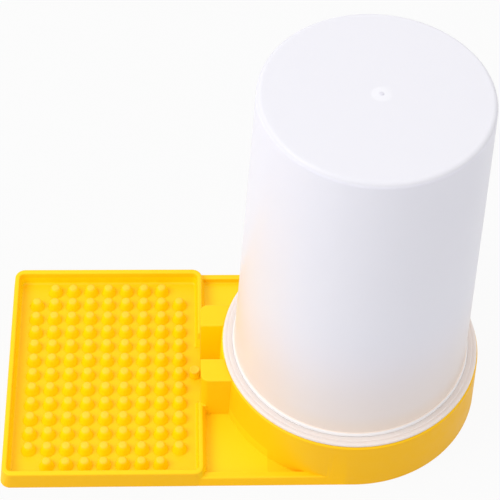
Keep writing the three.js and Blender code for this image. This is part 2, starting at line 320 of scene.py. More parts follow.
def tidied(bm):
    """Merges doubled vertices and turns the faces outwards."""
    bmesh.ops.remove_doubles(bm, verts=bm.verts, dist=MERGE)
    bmesh.ops.recalc_face_normals(bm, faces=bm.faces)
    return bm


def block(low, high):
    """A box from its lowest corner to its highest."""
    bm = bmesh.new()
    bmesh.ops.create_cube(bm, size=1)
    size = [b - a for a, b in zip(low, high)]
    middle = [(a + b) / 2 for a, b in zip(low, high)]
    bmesh.ops.scale(bm, vec=size, verts=bm.verts)
    bmesh.ops.translate(bm, vec=middle, verts=bm.verts)
    return bm


def verts_at(bm, **planes):
    """The vertices that lie on every plane given, such as z=0."""
    axes = {"x": 0, "y": 1, "z": 2}
    return [
        v for v in bm.verts
        if all(abs(v.co[axes[axis]] - place) < MERGE for axis, place in planes.items())
    ]


def edges_at(bm, **planes):
    """The edges whose two ends both lie on every plane given."""
    chosen = set(verts_at(bm, **planes))
    return [e for e in bm.edges if all(v in chosen for v in e.verts)]


def upright_edges(bm, test=lambda x, y: True):
    """The edges that run up the block, where test holds for their place."""
    chosen = []
    for edge in bm.edges:
        a, b = (v.co for v in edge.verts)
        if abs(a.z - b.z) > max(abs(a.x - b.x), abs(a.y - b.y)) and test(a.x, a.y):
            chosen.append(edge)
    return chosen


def round_edges(bm, edges, amount, segments):
    bmesh.ops.bevel(
        bm, geom=edges, offset=amount, offset_type="OFFSET", affect="EDGES",
        segments=segments, profile=0.5, material=-1,
    )


def top_face(bm, height):
    """The one face at a height that looks straight up."""
    bm.normal_update()
    for face in bm.faces:
        if abs(face.calc_center_median().z - height) < MERGE and face.normal.z > 1 - MERGE:
            return face


def extruded(bm, face, keep=False):
    """The new face of an extrusion that hasn't moved yet; the old face goes unless it is kept."""
    grown = bmesh.ops.extrude_face_region(bm, geom=[face], use_keep_orig=keep)
    if not keep:
        bmesh.ops.delete(bm, geom=[face], context="FACES_ONLY")
    return next(g for g in grown["geom"] if isinstance(g, bmesh.types.BMFace))


def stretched(bm, verts, low_x, high_x, half_y):
    """Moves a loop of vertices so that it fills the given rectangle."""
    xs = [v.co.x for v in verts]
    ys = [abs(v.co.y) for v in verts]
    scale_x = (high_x - low_x) / (max(xs) - min(xs))
    middle = (max(xs) + min(xs)) / 2
    bmesh.ops.translate(bm, vec=(-middle, 0, 0), verts=verts)
    bmesh.ops.scale(bm, vec=(scale_x, half_y / max(ys), 1), verts=verts)
    bmesh.ops.translate(bm, vec=((low_x + high_x) / 2, 0, 0), verts=verts)


def mirrored_copy(bm):
    """The same shape on the other side of the part's middle plane."""
    copy = bm.copy()
    bmesh.ops.scale(copy, vec=(1, -1, 1), verts=copy.verts)
    bmesh.ops.reverse_faces(copy, faces=copy.faces)
    return copy


def as_object(name, bm):
    mesh = bpy.data.meshes.new(name)
    bm.to_mesh(mesh)
    bm.free()
    piece = bpy.data.objects.new(name, mesh)
    bpy.context.scene.collection.objects.link(piece)
    return piece


def taken_back(piece):
    """The mesh of a working object, whose object is then removed."""
    bm = bmesh.new()
    bm.from_mesh(piece.data)
    spent = piece.data
    bpy.data.objects.remove(piece)
    bpy.data.meshes.remove(spent)
    return bm


def apply_modifiers(piece):
    graph = bpy.context.evaluated_depsgraph_get()
    shaped = bpy.data.meshes.new_from_object(piece.evaluated_get(graph))
    plain = piece.data
    piece.modifiers.clear()
    piece.data = shaped
    bpy.data.meshes.remove(plain)
    shaped.name = piece.name


def combine(piece, tool_bm, operation, both_sides):
    """Shapes a piece by a tool, and by the tool's mirror image too where both sides have it."""
    tools = [mirrored_copy(tool_bm), tool_bm] if both_sides else [tool_bm]
    for bm in tools:
        tool = as_object("tool", bm)
        step = piece.modifiers.new(operation, "BOOLEAN")
        step.operation = operation
        step.solver = "EXACT"
        step.object = tool
        apply_modifiers(piece)
        taken_back(tool).free()


def join(piece, tool_bm, both_sides=False):
    combine(piece, tool_bm, "UNION", both_sides)


def cut(piece, tool_bm, both_sides=False):
    combine(piece, tool_bm, "DIFFERENCE", both_sides)


def finish_piece(piece, body, node, material, sharp_degrees=SHARP_DEGREES):
    """Cleans a mesh, scales it to metres, smooths it and ties it to its CAD node."""
    bm = bmesh.new()
    bm.from_mesh(piece.data)
    bmesh.ops.remove_doubles(bm, verts=bm.verts, dist=CLEAN_UP)
    bmesh.ops.dissolve_degenerate(bm, dist=CLEAN_UP, edges=bm.edges)
    bmesh.ops.scale(bm, vec=(METRE, METRE, METRE), verts=bm.verts)
    bm.to_mesh(piece.data)
    bm.free()
    piece.data.shade_smooth()
    piece.data.set_sharp_from_angle(angle=math.radians(sharp_degrees))
    weighted = piece.modifiers.new("flat_faces_stay_flat", "WEIGHTED_NORMAL")
    weighted.keep_sharp = True
    apply_modifiers(piece)
    piece.data.materials.clear()
    piece.data.materials.append(material)
    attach(piece, body)
    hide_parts(node)


# Shader helpers

class Signal:
    """A number or colour that runs through a material, for plain arithmetic."""

    def __init__(self, finish, socket):
        self.finish = finish
        self.socket = socket

    def _math(self, operation, first, second):
        return self.finish.node("ShaderNodeMath", {"operation": operation}, {0: first, 1: second})

    def __add__(self, other):
        return self._math("ADD", self, other)

    def __sub__(self, other):
        return self._math("SUBTRACT", self, other)

    def __rsub__(self, other):
        return self._math("SUBTRACT", other, self)

    def __mul__(self, other):
        return self._math("MULTIPLY", self, other)

    __radd__ = __add__
    __rmul__ = __mul__


class Finish:
    """A node material under its own name, or the nodes of a world."""

    def __init__(self, name, tree=None):
        self.material = None
        if tree is None:
            self.material = bpy.data.materials.new(name)
            self.material.use_nodes = True
            tree = self.material.node_tree
        self.tree = tree
        self.tree.nodes.clear()

    def node(self, kind, settings, inputs, output=0):
        """Adds a node, its settings first and then the values or links of its sockets."""
        made = self.tree.nodes.new(kind)
        for name, value in settings.items():
            setattr(made, name, value)
        for key, value in inputs.items():
            if isinstance(value, Signal):
                self.tree.links.new(value.socket, made.inputs[key])
            else:
                made.inputs[key].default_value = value
        if made.outputs:
            return Signal(self, made.outputs[output])
        return None

    def place(self):
        return self.node("ShaderNodeTexCoord", {}, {}, "Object")

    def axis(self, place, name):
        """One coordinate of a place, in millimetres."""
        return self.node("ShaderNodeSeparateXYZ", {}, {0: place}, name) * (1 / METRE)

    def distance(self, place, centre):
        """How far a place is from a centre, both in millimetres."""
        centre_in_metres = tuple(length * METRE for length in centre)
        apart = self.node(
            "ShaderNodeVectorMath", {"operation": "DISTANCE"}, {0: place, 1: centre_in_metres}, "Value",
        )
        return apart * (1 / METRE)

    def noise(self, place, size, detail=3.0):
        """Cloudy noise from 0 to 1 whose features are about size millimetres across."""
        return self.node(
            "ShaderNodeTexNoise", {"noise_dimensions": "3D"},
            {"Vector": place, "Scale": 1 / (size * METRE), "Detail": detail, "Roughness": 0.5},
            "Fac",
        )

    def ramp(self, value, zero_at, one_at):
        """A soft step from 0 to 1, which rises or falls with value as its two ends say."""
        return self.node(
            "ShaderNodeMapRange", {"clamp": True, "interpolation_type": "SMOOTHSTEP"},
            {"Value": value, "From Min": zero_at, "From Max": one_at},
        )

    def between(self, value, low, high, blur):
        """1 where value lies from low to high, fading out over blur on both sides."""
        return self.ramp(value, low - blur, low) * self.ramp(value, high + blur, high)

    def spread(self, value, low, high):
        """A number that goes from low to high as value goes from 0 to 1."""
        return value * (high - low) + low

    def mix(self, amount, first, second):
        """A colour between two colours."""
        return self.node(
            "ShaderNodeMix", {"data_type": "RGBA"}, {0: amount, 6: first, 7: second}, 2,
        )

    def tinted(self, colour, tints):
        """A colour with tints laid over it one after another, each by its own mask."""
        for mask, tint in tints:
            colour = self.mix(mask, colour, tint)
        return colour

    def bump(self, height, strength, depth):
        return self.node(
            "ShaderNodeBump", {}, {"Height": height, "Strength": strength, "Distance": depth * METRE},
        )

    def seen_directly(self):
        """1 for a ray that shows the background to the camera, in a reflection or through glass."""
        camera = self.node("ShaderNodeLightPath", {}, {}, "Is Camera Ray")
        glossy = self.node("ShaderNodeLightPath", {}, {}, "Is Glossy Ray")
        through = self.node("ShaderNodeLightPath", {}, {}, "Is Transmission Ray")
        return 1 - (1 - camera) * (1 - glossy) * (1 - through)

    def surface(self, shader):
        self.node("ShaderNodeOutputMaterial", {}, {"Surface": shader})
        return self.material


def rgb(red, green, blue):
    """A colour written in the 0 to 255 values that a screen shows."""
    def linear(value):
        share = value / 255
        return share / 12.92 if share <= 0.04045 else ((share + 0.055) / 1.055) ** 2.4
    return (linear(red), linear(green), linear(blue), 1.0)


def grey(brightness):
    """A grey of a linear brightness from 0 to 1."""
    return (brightness, brightness, brightness, 1.0)


# Colours of the pieces and of their tinted places, most of which are painted light, shade or glow

YELLOW = rgb(255, 203, 4)
YELLOW_DRIFT = rgb(255, 207, 10)
YELLOW_HAZE = rgb(255, 213, 20)
# Painted bounce light that lightens the shade on the studs' sides and the tray's inner walls
STUD_SIDE_PAINTED_BOUNCE = rgb(255, 218, 0)
# Painted sheen on the tops of the studs and the boss
STUD_TOP_PAINTED_SHEEN = rgb(255, 204, 78)
# Painted bounce light that lightens the shade in the slot between the stops
SLOT_PAINTED_BOUNCE = rgb(255, 222, 0)
# Painted bounce light that lightens the shade in the pockets between tray and ring
POCKET_PAINTED_BOUNCE = rgb(255, 214, 16)
# Painted shade that deepens the yellow of the outer walls
OUTER_WALL_PAINTED_SHADE = rgb(255, 194, 6)
CUP_MILK = rgb(239, 238, 250)
CUP_CLOUD_MILK = rgb(242, 241, 253)
# Painted glow of the yellow base, warming the cup towards its foot
CUP_PAINTED_GLOW_MILK = rgb(241, 225, 214)
# Painted shade that darkens the cup's closed end
CUP_END_PAINTED_SHADE = rgb(222, 221, 227)
BEAD_MILK = rgb(240, 236, 236)
# Painted light that fills the shade in the crease under the bead
BEAD_CREASE_PAINTED_LIGHT = rgb(255, 251, 251)
GATE_MILK = rgb(250, 250, 252)
# Painted shade on the pip of the mould mark
PIP_PAINTED_SHADE = rgb(211, 209, 218)
LID_MILK = rgb(229, 219, 214)
LID_CLOUD_MILK = rgb(232, 222, 217)
RUBBER = rgb(212, 208, 200)
RUBBER_GRAIN = rgb(222, 219, 212)
FLOOR_GREY = grey(0.46)
FLOOR_PALE_GREY = grey(0.49)
WHITE = grey(1.0)


# Places on the base where light or shade is painted, as masks that are 1 there

def stud_side_bounce_mask(finish, x, y, z):
    """The sides of the studs, and the tray's own walls at that height, where painted bounce light lightens
    their shade.
    """
    return (
        finish.between(x, TRAY_INNER_FAR_X + TRAY_BLUR, STOP_FACE_X, TRAY_BLUR)
        * finish.between(y, -TRAY_INNER_HALF_WIDTH, TRAY_INNER_HALF_WIDTH, TRAY_BLUR)
        * finish.between(z, STUD_SIDE_LOW_Z, STUD_SIDE_HIGH_Z, STUD_SIDE_BLUR)
    )


def stud_top_sheen_mask(finish, x, y, z):
    """The tops of the studs and of the moulding boss, where a pale painted sheen is laid."""
    half_x = (STUD_COLUMNS - 1) / 2 * STUD_PITCH_X + STUD_FOOT_RADIUS
    half_y = (STUD_ROWS - 1) / 2 * STUD_PITCH_Y + STUD_FOOT_RADIUS
    on_studs = (
        finish.between(x, STUD_CENTRE_X - half_x, STUD_CENTRE_X + half_x, TRAY_BLUR)
        * finish.between(y, -half_y, half_y, TRAY_BLUR)
    )
    on_boss = (
        finish.between(x, BOSS_X - BOSS_RADIUS, STOP_FACE_X, TRAY_BLUR)
        * finish.between(y, -STOP_INNER_Y, STOP_INNER_Y, SLOT_BLUR)
    )
    return finish.ramp(z, STUD_TOP_FROM_Z, STUD_TOP_Z) * (on_studs + on_boss)


def slot_bounce_mask(finish, x, y, z):
    """The walls of the slot between the stops, where painted bounce light lightens the shade of the
    recess.
    """
    return (
        finish.between(x, STOP_FACE_X, STOP_ROOT_X, SLOT_BLUR)
        * finish.between(y, -STOP_INNER_Y, STOP_INNER_Y, SLOT_BLUR)
        * finish.between(z, FLOOR_Z + 2 * SLOT_BLUR, RING_TOP_Z - STOP_EDGE_ROUNDING, SLOT_BLUR)
    )


def pocket_bounce_mask(finish, x, y, z):
    """The floor and the low walls of the two pockets between tray and ring, where painted bounce light
    lightens the shade.
    """
    return (
        finish.between(x, TRAY_NEAR_X - POCKET_BLUR, POCKET_END_X, POCKET_BLUR)
        * finish.between(y, -POCKET_HALF_WIDTH, POCKET_HALF_WIDTH, POCKET_BLUR)
        * (1 - finish.between(y, -STOP_OUTER_Y, STOP_OUTER_Y, POCKET_BLUR))
        * finish.between(z, FLOOR_Z, POCKET_TOP_Z, POCKET_BLUR)
    )


def outer_wall_shade_mask(finish, x, y):
    """The walls along both sides of the base, and the ring's wall away from the tray, which painted shade
    makes a deeper yellow.
    """
    side = finish.ramp(y * y, OUTER_WALL_FROM ** 2, OUTER_WALL_TO ** 2)
    ring = (
        finish.ramp(x * x + y * y, OUTER_WALL_FROM ** 2, OUTER_WALL_TO ** 2)
        * finish.ramp(x, OUTER_RING_FROM_X, OUTER_RING_TO_X)
    )
    return 1 - (1 - side) * (1 - ring)


# Finishes

def yellow_moulding():
    """Warm yellow plastic, with painted bounce light that lightens the hollows and stud sides, a painted
    sheen on the stud tops and painted shade that deepens the outer walls.
    """
    finish = Finish("yellow_moulding")
    place = finish.place()
    drift = finish.noise(place, YELLOW_DRIFT_SIZE, detail=2.0)
    haze = finish.noise(place, YELLOW_HAZE_SIZE, detail=4.0)
    skin = finish.noise(place, YELLOW_SKIN_SIZE, detail=2.0)
    x = finish.axis(place, "X")
    y = finish.axis(place, "Y")
    z = finish.axis(place, "Z")
    colour = finish.tinted(finish.mix(drift, YELLOW, YELLOW_DRIFT), [
        (finish.ramp(haze, HAZE_TINT_FROM, HAZE_TINT_FULL) * HAZE_TINT_SHARE, YELLOW_HAZE),
        (stud_side_bounce_mask(finish, x, y, z), STUD_SIDE_PAINTED_BOUNCE),
        (slot_bounce_mask(finish, x, y, z), SLOT_PAINTED_BOUNCE),
        (pocket_bounce_mask(finish, x, y, z), POCKET_PAINTED_BOUNCE),
        (outer_wall_shade_mask(finish, x, y), OUTER_WALL_PAINTED_SHADE),
        (stud_top_sheen_mask(finish, x, y, z) * STUD_TOP_SHEEN_SHARE, STUD_TOP_PAINTED_SHEEN),
    ])
    shader = finish.node("ShaderNodeBsdfPrincipled", {}, {
        "Base Color": colour,
        "Roughness": finish.spread(finish.ramp(haze, HAZE_GLOSS_FROM, HAZE_GLOSS_FULL), 0.42, 0.52),
        "Specular IOR Level": 0.25,
        "Normal": finish.bump(skin, strength=0.12, depth=SKIN_DEPTH),
    })
    return finish.surface(shader)


def milky_cup():
    """Milky plastic that lets some light in, with a painted glow of the yellow base near the foot, painted
    light in the bead's crease, and painted shade on the end and the pip.
    """
    finish = Finish("milky_cup")
    place = finish.place()
    cloud = finish.noise(place, CUP_CLOUD_SIZE)
    haze = finish.noise(place, CUP_HAZE_SIZE)
    skin = finish.noise(place, MILKY_SKIN_SIZE, detail=2.0)
    z = finish.axis(place, "Z")
    # Painted glow of the yellow base, stronger near the foot
    painted_glow = finish.ramp(z, CUP_WARM_FROM_Z, CUP_WARMEST_Z) * CUP_WARM_SHARE
    painted_glow_near_foot = finish.ramp(z, CUP_WARMER_FROM_Z, CUP_WARMEST_Z) * CUP_WARMER_SHARE
    off_gate = finish.distance(place, (GATE_X, GATE_Y, CUP_END_Z))
    colour = finish.tinted(finish.mix(cloud, CUP_MILK, CUP_CLOUD_MILK), [
        (painted_glow + painted_glow_near_foot, CUP_PAINTED_GLOW_MILK),
        (finish.ramp(z, BEAD_TINT_FROM_Z, BEAD_TINT_Z), BEAD_MILK),
        (finish.between(z, BEAD_LOW, BEAD_CREASE_Z, BEAD_CREASE_BLUR), BEAD_CREASE_PAINTED_LIGHT),
        (finish.ramp(z, END_TINT_FROM_Z, END_TINT_Z), CUP_END_PAINTED_SHADE),
        (finish.ramp(off_gate, GATE_TINT_OUTER, GATE_TINT_INNER) * GATE_TINT_SHARE, GATE_MILK),
        (finish.ramp(off_gate, PIP_TINT_OUTER, PIP_TINT_INNER), PIP_PAINTED_SHADE),
    ])
    shader = finish.node("ShaderNodeBsdfPrincipled", {}, {
        "Base Color": colour,
        "Roughness": finish.spread(haze, 0.3, 0.38),
        "Specular IOR Level": 0.3,
        "Subsurface Weight": 0.4,
        "Subsurface Radius": (1.0, 0.98, 0.96),
        "Subsurface Scale": CUP_GLOW_DEPTH * METRE,
        "Normal": finish.bump(skin, strength=0.08, depth=SKIN_DEPTH),
    })
    return finish.surface(shader)


def milky_lid():
    finish = Finish("milky_lid")
    place = finish.place()
    cloud = finish.noise(place, LID_CLOUD_SIZE)
    skin = finish.noise(place, MILKY_SKIN_SIZE, detail=2.0)
    shader = finish.node("ShaderNodeBsdfPrincipled", {}, {
        "Base Color": finish.mix(cloud, LID_MILK, LID_CLOUD_MILK),
        "Roughness": finish.spread(cloud, 0.3, 0.38),
        "Specular IOR Level": 0.35,
        "Subsurface Weight": 1.0,
        "Subsurface Radius": (1.0, 0.96, 0.92),
        "Subsurface Scale": LID_GLOW_DEPTH * METRE,
        "Normal": finish.bump(skin, strength=0.08, depth=SKIN_DEPTH),
    })
    return finish.surface(shader)


def pale_rubber():
    finish = Finish("pale_rubber")
    grain = finish.noise(finish.place(), RUBBER_GRAIN_SIZE, detail=4.0)
    shader = finish.node("ShaderNodeBsdfPrincipled", {}, {
        "Base Color": finish.mix(grain, RUBBER, RUBBER_GRAIN),
        "Roughness": finish.spread(grain, 0.6, 0.72),
        "Normal": finish.bump(grain, strength=0.15, depth=RUBBER_GRAIN_DEPTH),
    })
    return finish.surface(shader)


def studio_floor():
    """White to the camera apart from the object's own soft shadow."""
    finish = Finish("studio_floor")
    grain = finish.noise(finish.place(), FLOOR_GRAIN_SIZE, detail=2.0)
    matt = finish.node("ShaderNodeBsdfPrincipled", {}, {
        "Base Color": finish.mix(grain, FLOOR_GREY, FLOOR_PALE_GREY),
        "Roughness": 1.0,
        "Specular IOR Level": 0.0,
    })
    white = finish.node("ShaderNodeEmission", {}, {"Color": WHITE, "Strength": 1.0})
    seen = finish.seen_directly() * SEEN_WHITE_SHARE
    return finish.surface(finish.node("ShaderNodeMixShader", {}, {0: seen, 1: matt, 2: white}))


# Screw thread of cup and lid

def thread_ridge(wall_radius, crest_radius, start_z):
    """A tapered ridge on a helix, from one section that is carried round step by step."""
    steps = round(THREAD_TURNS * THREAD_STEPS_PER_TURN)
    turn = Matrix.Rotation(FULL_TURN / THREAD_STEPS_PER_TURN, 4, "Z")
    rise = Matrix.Translation((0, 0, THREAD_PITCH / THREAD_STEPS_PER_TURN))
    root_radius = wall_radius + math.copysign(THREAD_BURY, wall_radius - crest_radius)
    section = [
        (root_radius, -THREAD_ROOT_WIDTH / 2),
        (crest_radius, -THREAD_CREST_WIDTH / 2),
        (crest_radius, THREAD_CREST_WIDTH / 2),
        (root_radius, THREAD_ROOT_WIDTH / 2),
    ]

    def set_crest(face, step):
        """Sets how far the two crest corners, the middle ones in height, stand out there."""
        share_of_depth = min(1, (1 + min(step, steps - step)) / THREAD_RUNOUT_STEPS)
        crest = wall_radius + (crest_radius - wall_radius) * share_of_depth
        for v in sorted(face.verts, key=lambda v: v.co.z)[1:3]:
            scale = crest / math.hypot(v.co.x, v.co.y)
            v.co.x *= scale
            v.co.y *= scale

    bm = bmesh.new()
    face = bm.faces.new([bm.verts.new((radius, 0, start_z + z)) for radius, z in section])
    set_crest(face, 0)
    for step in range(1, steps + 1):
        face = extruded(bm, face, keep=step == 1)
        bmesh.ops.transform(bm, matrix=rise @ turn, verts=face.verts)
        set_crest(face, step)
    return tidied(bm)


# Cup

def gate_mark(end):
    """The low swelling with a pip on it where the cup was filled in its mould."""
    outline = [(0.0, end - OVERRUN), (GATE_RADIUS, end - OVERRUN)]
    for radius_share, height_share in GATE_SWELL_SHARES:
        outline.append((GATE_RADIUS * radius_share, end + GATE_SWELL * height_share))
    for radius_share, height_share in GATE_PIP_SHARES:
        outline.append((GATE_PIP_RADIUS * radius_share, end + GATE_SWELL + GATE_PIP_HEIGHT * height_share))
    outline.append((0.0, CUP_END_Z))
    bm = turned(unrounded(outline), steps=GATE_STEPS)
    bmesh.ops.translate(bm, vec=(GATE_X, GATE_Y, 0), verts=bm.verts)
    return bm


def make_cup(material):
    end = CUP_END_Z - GATE_SWELL - GATE_PIP_HEIGHT
    inner_end = CUP_END_Z - CUP_END_WALL
    inner_neck = CUP_FOOT_Z - (CUP_FOOT_RADIUS - NECK_RADIUS)
    profile = [
        (0.0, inner_end, 0),
        (CUP_END_RADIUS - CUP_WALL, inner_end, CUP_END_ROUNDING),
        (CUP_FOOT_RADIUS - CUP_WALL, CUP_FOOT_Z, 0),
        (NECK_INNER_RADIUS, inner_neck, 0),
        (NECK_INNER_RADIUS, MOUTH_Z, MOUTH_ROUNDING),
        (NECK_RADIUS, MOUTH_Z, MOUTH_ROUNDING),
        (NECK_RADIUS, BEAD_LOW, 0),
        (BEAD_RADIUS, BEAD_LOW, BEAD_UNDER_ROUNDING),
        (BEAD_RADIUS, BEAD_TOP, BEAD_ROUNDING),
        (CUP_FOOT_RADIUS, CUP_FOOT_Z, 0),
        (CUP_END_RADIUS, end, CUP_END_ROUNDING),
        (0.0, end, 0),
    ]
    piece = as_object("cup_shell", turned(profile, segments=CUP_EDGE_STEPS))
    join(piece, gate_mark(end))
    join(piece, thread_ridge(NECK_RADIUS, NECK_RADIUS + THREAD_DEPTH, CUP_THREAD_LOW))
    finish_piece(piece, "cup", "reservoir_cup", material)


# Lid and seal

def make_lid(material):
    profile = [
        (LID_HOLE_RADIUS, LID_LOW, LID_SMALL_ROUNDING),
        (LID_RADIUS, LID_LOW, LID_EDGE_ROUNDING),
        (LID_RADIUS, SPIGOT_LOW, 0),
        (SPIGOT_RADIUS, SPIGOT_LOW, LID_SMALL_ROUNDING),
        (SPIGOT_RADIUS, FLANGE_LOW, 0),
        (FLANGE_RADIUS, FLANGE_LOW, FLANGE_UNDER_ROUNDING),
        (FLANGE_RADIUS, FLANGE_TOP - FLANGE_LIP_HEIGHT, FLANGE_ROUNDING),
        (FLANGE_LIP_RADIUS + FLANGE_LIP_HEIGHT, FLANGE_TOP - FLANGE_LIP_HEIGHT, 0),
        (FLANGE_LIP_RADIUS, FLANGE_TOP, FLANGE_LIP_ROUNDING),
        (LID_BORE_RADIUS, FLANGE_TOP, LID_SMALL_ROUNDING),
        (LID_BORE_RADIUS, LID_FLOOR_TOP, 0),
        (LID_HOLE_RADIUS, LID_FLOOR_TOP, LID_SMALL_ROUNDING),
    ]
    piece = as_object("lid_shell", turned(profile, closed=True))
    join(piece, thread_ridge(LID_BORE_RADIUS, LID_BORE_RADIUS - THREAD_DEPTH, LID_THREAD_LOW))
    finish_piece(piece, "lid", "screw_lid", material)


def make_seal(material):
    profile = [
        (SEAL_INNER_RADIUS, SEAL_LOW, SEAL_ROUNDING),
        (SEAL_OUTER_RADIUS, SEAL_LOW, SEAL_ROUNDING),
        (SEAL_OUTER_RADIUS, SEAL_TOP, SEAL_ROUNDING),
        (SEAL_INNER_RADIUS, SEAL_TOP, SEAL_ROUNDING),
    ]
    piece = as_object("seal_band", turned(profile, closed=True))
    finish_piece(piece, "seal", "seal_ring", material, SEAL_SHARP_DEGREES)


# Base moulding

def is_fold(edge):
    """Whether the two faces at an edge turn away from each other."""
    return len(edge.link_faces) == 2 and edge.calc_face_angle() > math.radians(TRAY_FOLD_DEGREES)


def tray_body():
    """Tray walls and floor in one: a leaning block whose top is pushed down inside its rim."""
    bm = block(
        (TRAY_FAR_X - TRAY_OUTER_LEAN, -RING_FOOT_RADIUS, 0),
        (TRAY_NEAR_X + TRAY_NEAR_LEAN, RING_FOOT_RADIUS, TRAY_TOP_Z),
    )
    stretched(bm, verts_at(bm, z=TRAY_TOP_Z), TRAY_FAR_X, TRAY_NEAR_X, TRAY_HALF_WIDTH)
    round_edges(bm, upright_edges(bm), TRAY_CORNER_RADIUS, CORNER_STEPS)
    top = top_face(bm, TRAY_TOP_Z)
    bmesh.ops.inset_region(bm, faces=[top], thickness=TRAY_SIDE_RIM, use_even_offset=True)
    stretched(bm, top.verts, TRAY_INNER_FAR_X, TRAY_INNER_NEAR_X, TRAY_INNER_HALF_WIDTH)
    floor = extruded(bm, top)
    bmesh.ops.translate(bm, vec=(0, 0, FLOOR_Z - TRAY_TOP_Z), verts=floor.verts)
    stretched(
        bm, floor.verts, TRAY_INNER_FAR_X + TRAY_INNER_LEAN, TRAY_INNER_NEAR_X - TRAY_INNER_LEAN,
        TRAY_INNER_HALF_WIDTH - TRAY_INNER_LEAN,
    )
    bm.normal_update()
    floor_edges = list(floor.edges)
    rim_edges = [e for e in edges_at(bm, z=TRAY_TOP_Z) if is_fold(e)]
    foot_edges = [e for e in edges_at(bm, z=0) if is_fold(e)]
    round_edges(bm, rim_edges, TRAY_RIM_ROUNDING, SMALL_EDGE_STEPS)
    round_edges(bm, foot_edges, FOOT_ROUNDING, SMALL_EDGE_STEPS)
    round_edges(bm, [e for e in floor_edges if e.is_valid], TRAY_FLOOR_FILLET, EDGE_STEPS)
    return tidied(bm)


def tray_notch():
    """The gap in the near rim in front of the stops, whose ends slope down to the floor."""
    bm = block(
        (TRAY_INNER_NEAR_X - TRAY_INNER_LEAN - 3 * OVERRUN, -NOTCH_HALF_WIDTH, FLOOR_Z),
        (TRAY_NEAR_X + TRAY_NEAR_LEAN + OVERRUN, NOTCH_HALF_WIDTH, TRAY_TOP_Z + OVERRUN),
    )
    foot_share = 1 - NOTCH_END_SLOPE / NOTCH_HALF_WIDTH
    bmesh.ops.scale(bm, vec=(1, foot_share, 1), verts=verts_at(bm, z=FLOOR_Z))
    return bm


def rim_ear():
    """The short pad on the side of +Y that joins the end of the near rim to its stop."""
    inner_y = NOTCH_HALF_WIDTH - RIM_EAR_LAP
    bm = block(
        (TRAY_NEAR_X - TRAY_END_RIM / 2, inner_y, 0),
        (RIM_EAR_X, inner_y + RIM_EAR_WIDTH, TRAY_TOP_Z),
    )
    edges = edges_at(bm, z=TRAY_TOP_Z) + upright_edges(bm)
    round_edges(bm, edges, TRAY_RIM_ROUNDING, SMALL_EDGE_STEPS)
    return tidied(bm)


def low_plate():
    """Plate between tray and ring with a low rim along both sides."""
    bm = block((TRAY_INNER_NEAR_X, -RING_FOOT_RADIUS, 0), (0, RING_FOOT_RADIUS, RIM_TOP_Z))
    top_half = RING_FOOT_RADIUS - RIM_LEAN
    top = verts_at(bm, z=RIM_TOP_Z)
    bmesh.ops.scale(bm, vec=(1, top_half / RING_FOOT_RADIUS, 1), verts=top)
    for side in (1, -1):
        round_edges(bm, edges_at(bm, z=RIM_TOP_Z, y=side * top_half), RIM_ROUNDING, EDGE_STEPS)
        round_edges(bm, edges_at(bm, z=0, y=side * RING_FOOT_RADIUS), FOOT_ROUNDING, SMALL_EDGE_STEPS)
    return tidied(bm)


def plate_pocket():
    """The hollow of the low plate, with a soft fold along each side of its floor."""
    bm = block(
        (TRAY_INNER_NEAR_X, -POCKET_HALF_WIDTH, FLOOR_Z),
        (0, POCKET_HALF_WIDTH, RIM_TOP_Z + OVERRUN),
    )
    for side in (1, -1):
        round_edges(bm, edges_at(bm, z=FLOOR_Z, y=side * POCKET_HALF_WIDTH), FLOOR_FILLET, EDGE_STEPS)
    return tidied(bm)


def ring_body():
    """The ring as a full round, before the well is cut into it."""
    profile = [
        (0.0, 0.0, 0),
        (RING_FOOT_RADIUS, 0.0, FOOT_ROUNDING),
        (RING_TOP_RADIUS, RING_TOP_Z, RING_TOP_ROUNDING),
        (0.0, RING_TOP_Z, 0),
    ]
    return turned(profile, segments=RING_EDGE_STEPS)


def well_cut():
    """The round well, flared at its lip so that the ring's inner edge is soft."""
    lip_radius = WELL_RADIUS + RING_LIP_ROUNDING
    profile = [
        (0.0, FLOOR_Z, 0),
        (WELL_RADIUS, FLOOR_Z, FLOOR_FILLET),
        (WELL_RADIUS, RING_TOP_Z - RING_LIP_ROUNDING, RING_LIP_BLEND),
        (lip_radius, RING_TOP_Z, RING_LIP_BLEND),
        (lip_radius, RING_TOP_Z + OVERRUN, 0),
        (0.0, RING_TOP_Z + OVERRUN, 0),
    ]
    return turned(profile)


def outlet_window():
    """The water's way out of the well, through the ring's wall between the stops."""
    return block(
        (-RING_FOOT_RADIUS - OVERRUN, -OUTLET_HALF_WIDTH, FLOOR_Z),
        (-WELL_RADIUS + 2 * OVERRUN, OUTLET_HALF_WIDTH, OUTLET_TOP_Z),
    )


def stop_block():
    """The upright block on the side of +Y, which runs on into the ring's wall."""
    bm = block((STOP_FACE_X, STOP_INNER_Y, 0), (STOP_ROOT_X, STOP_OUTER_Y, RING_TOP_Z))
    corner = upright_edges(bm, lambda x, y: x < STOP_FACE_X + MERGE and y > STOP_OUTER_Y - MERGE)
    round_edges(bm, corner, STOP_CORNER_RADIUS, CORNER_STEPS)
    top = top_face(bm, RING_TOP_Z)
    outside = [e for e in top.edges if any(v.co.x < STOP_ROOT_X - MERGE for v in e.verts)]
    round_edges(bm, outside, STOP_EDGE_ROUNDING, SMALL_EDGE_STEPS)
    return tidied(bm)


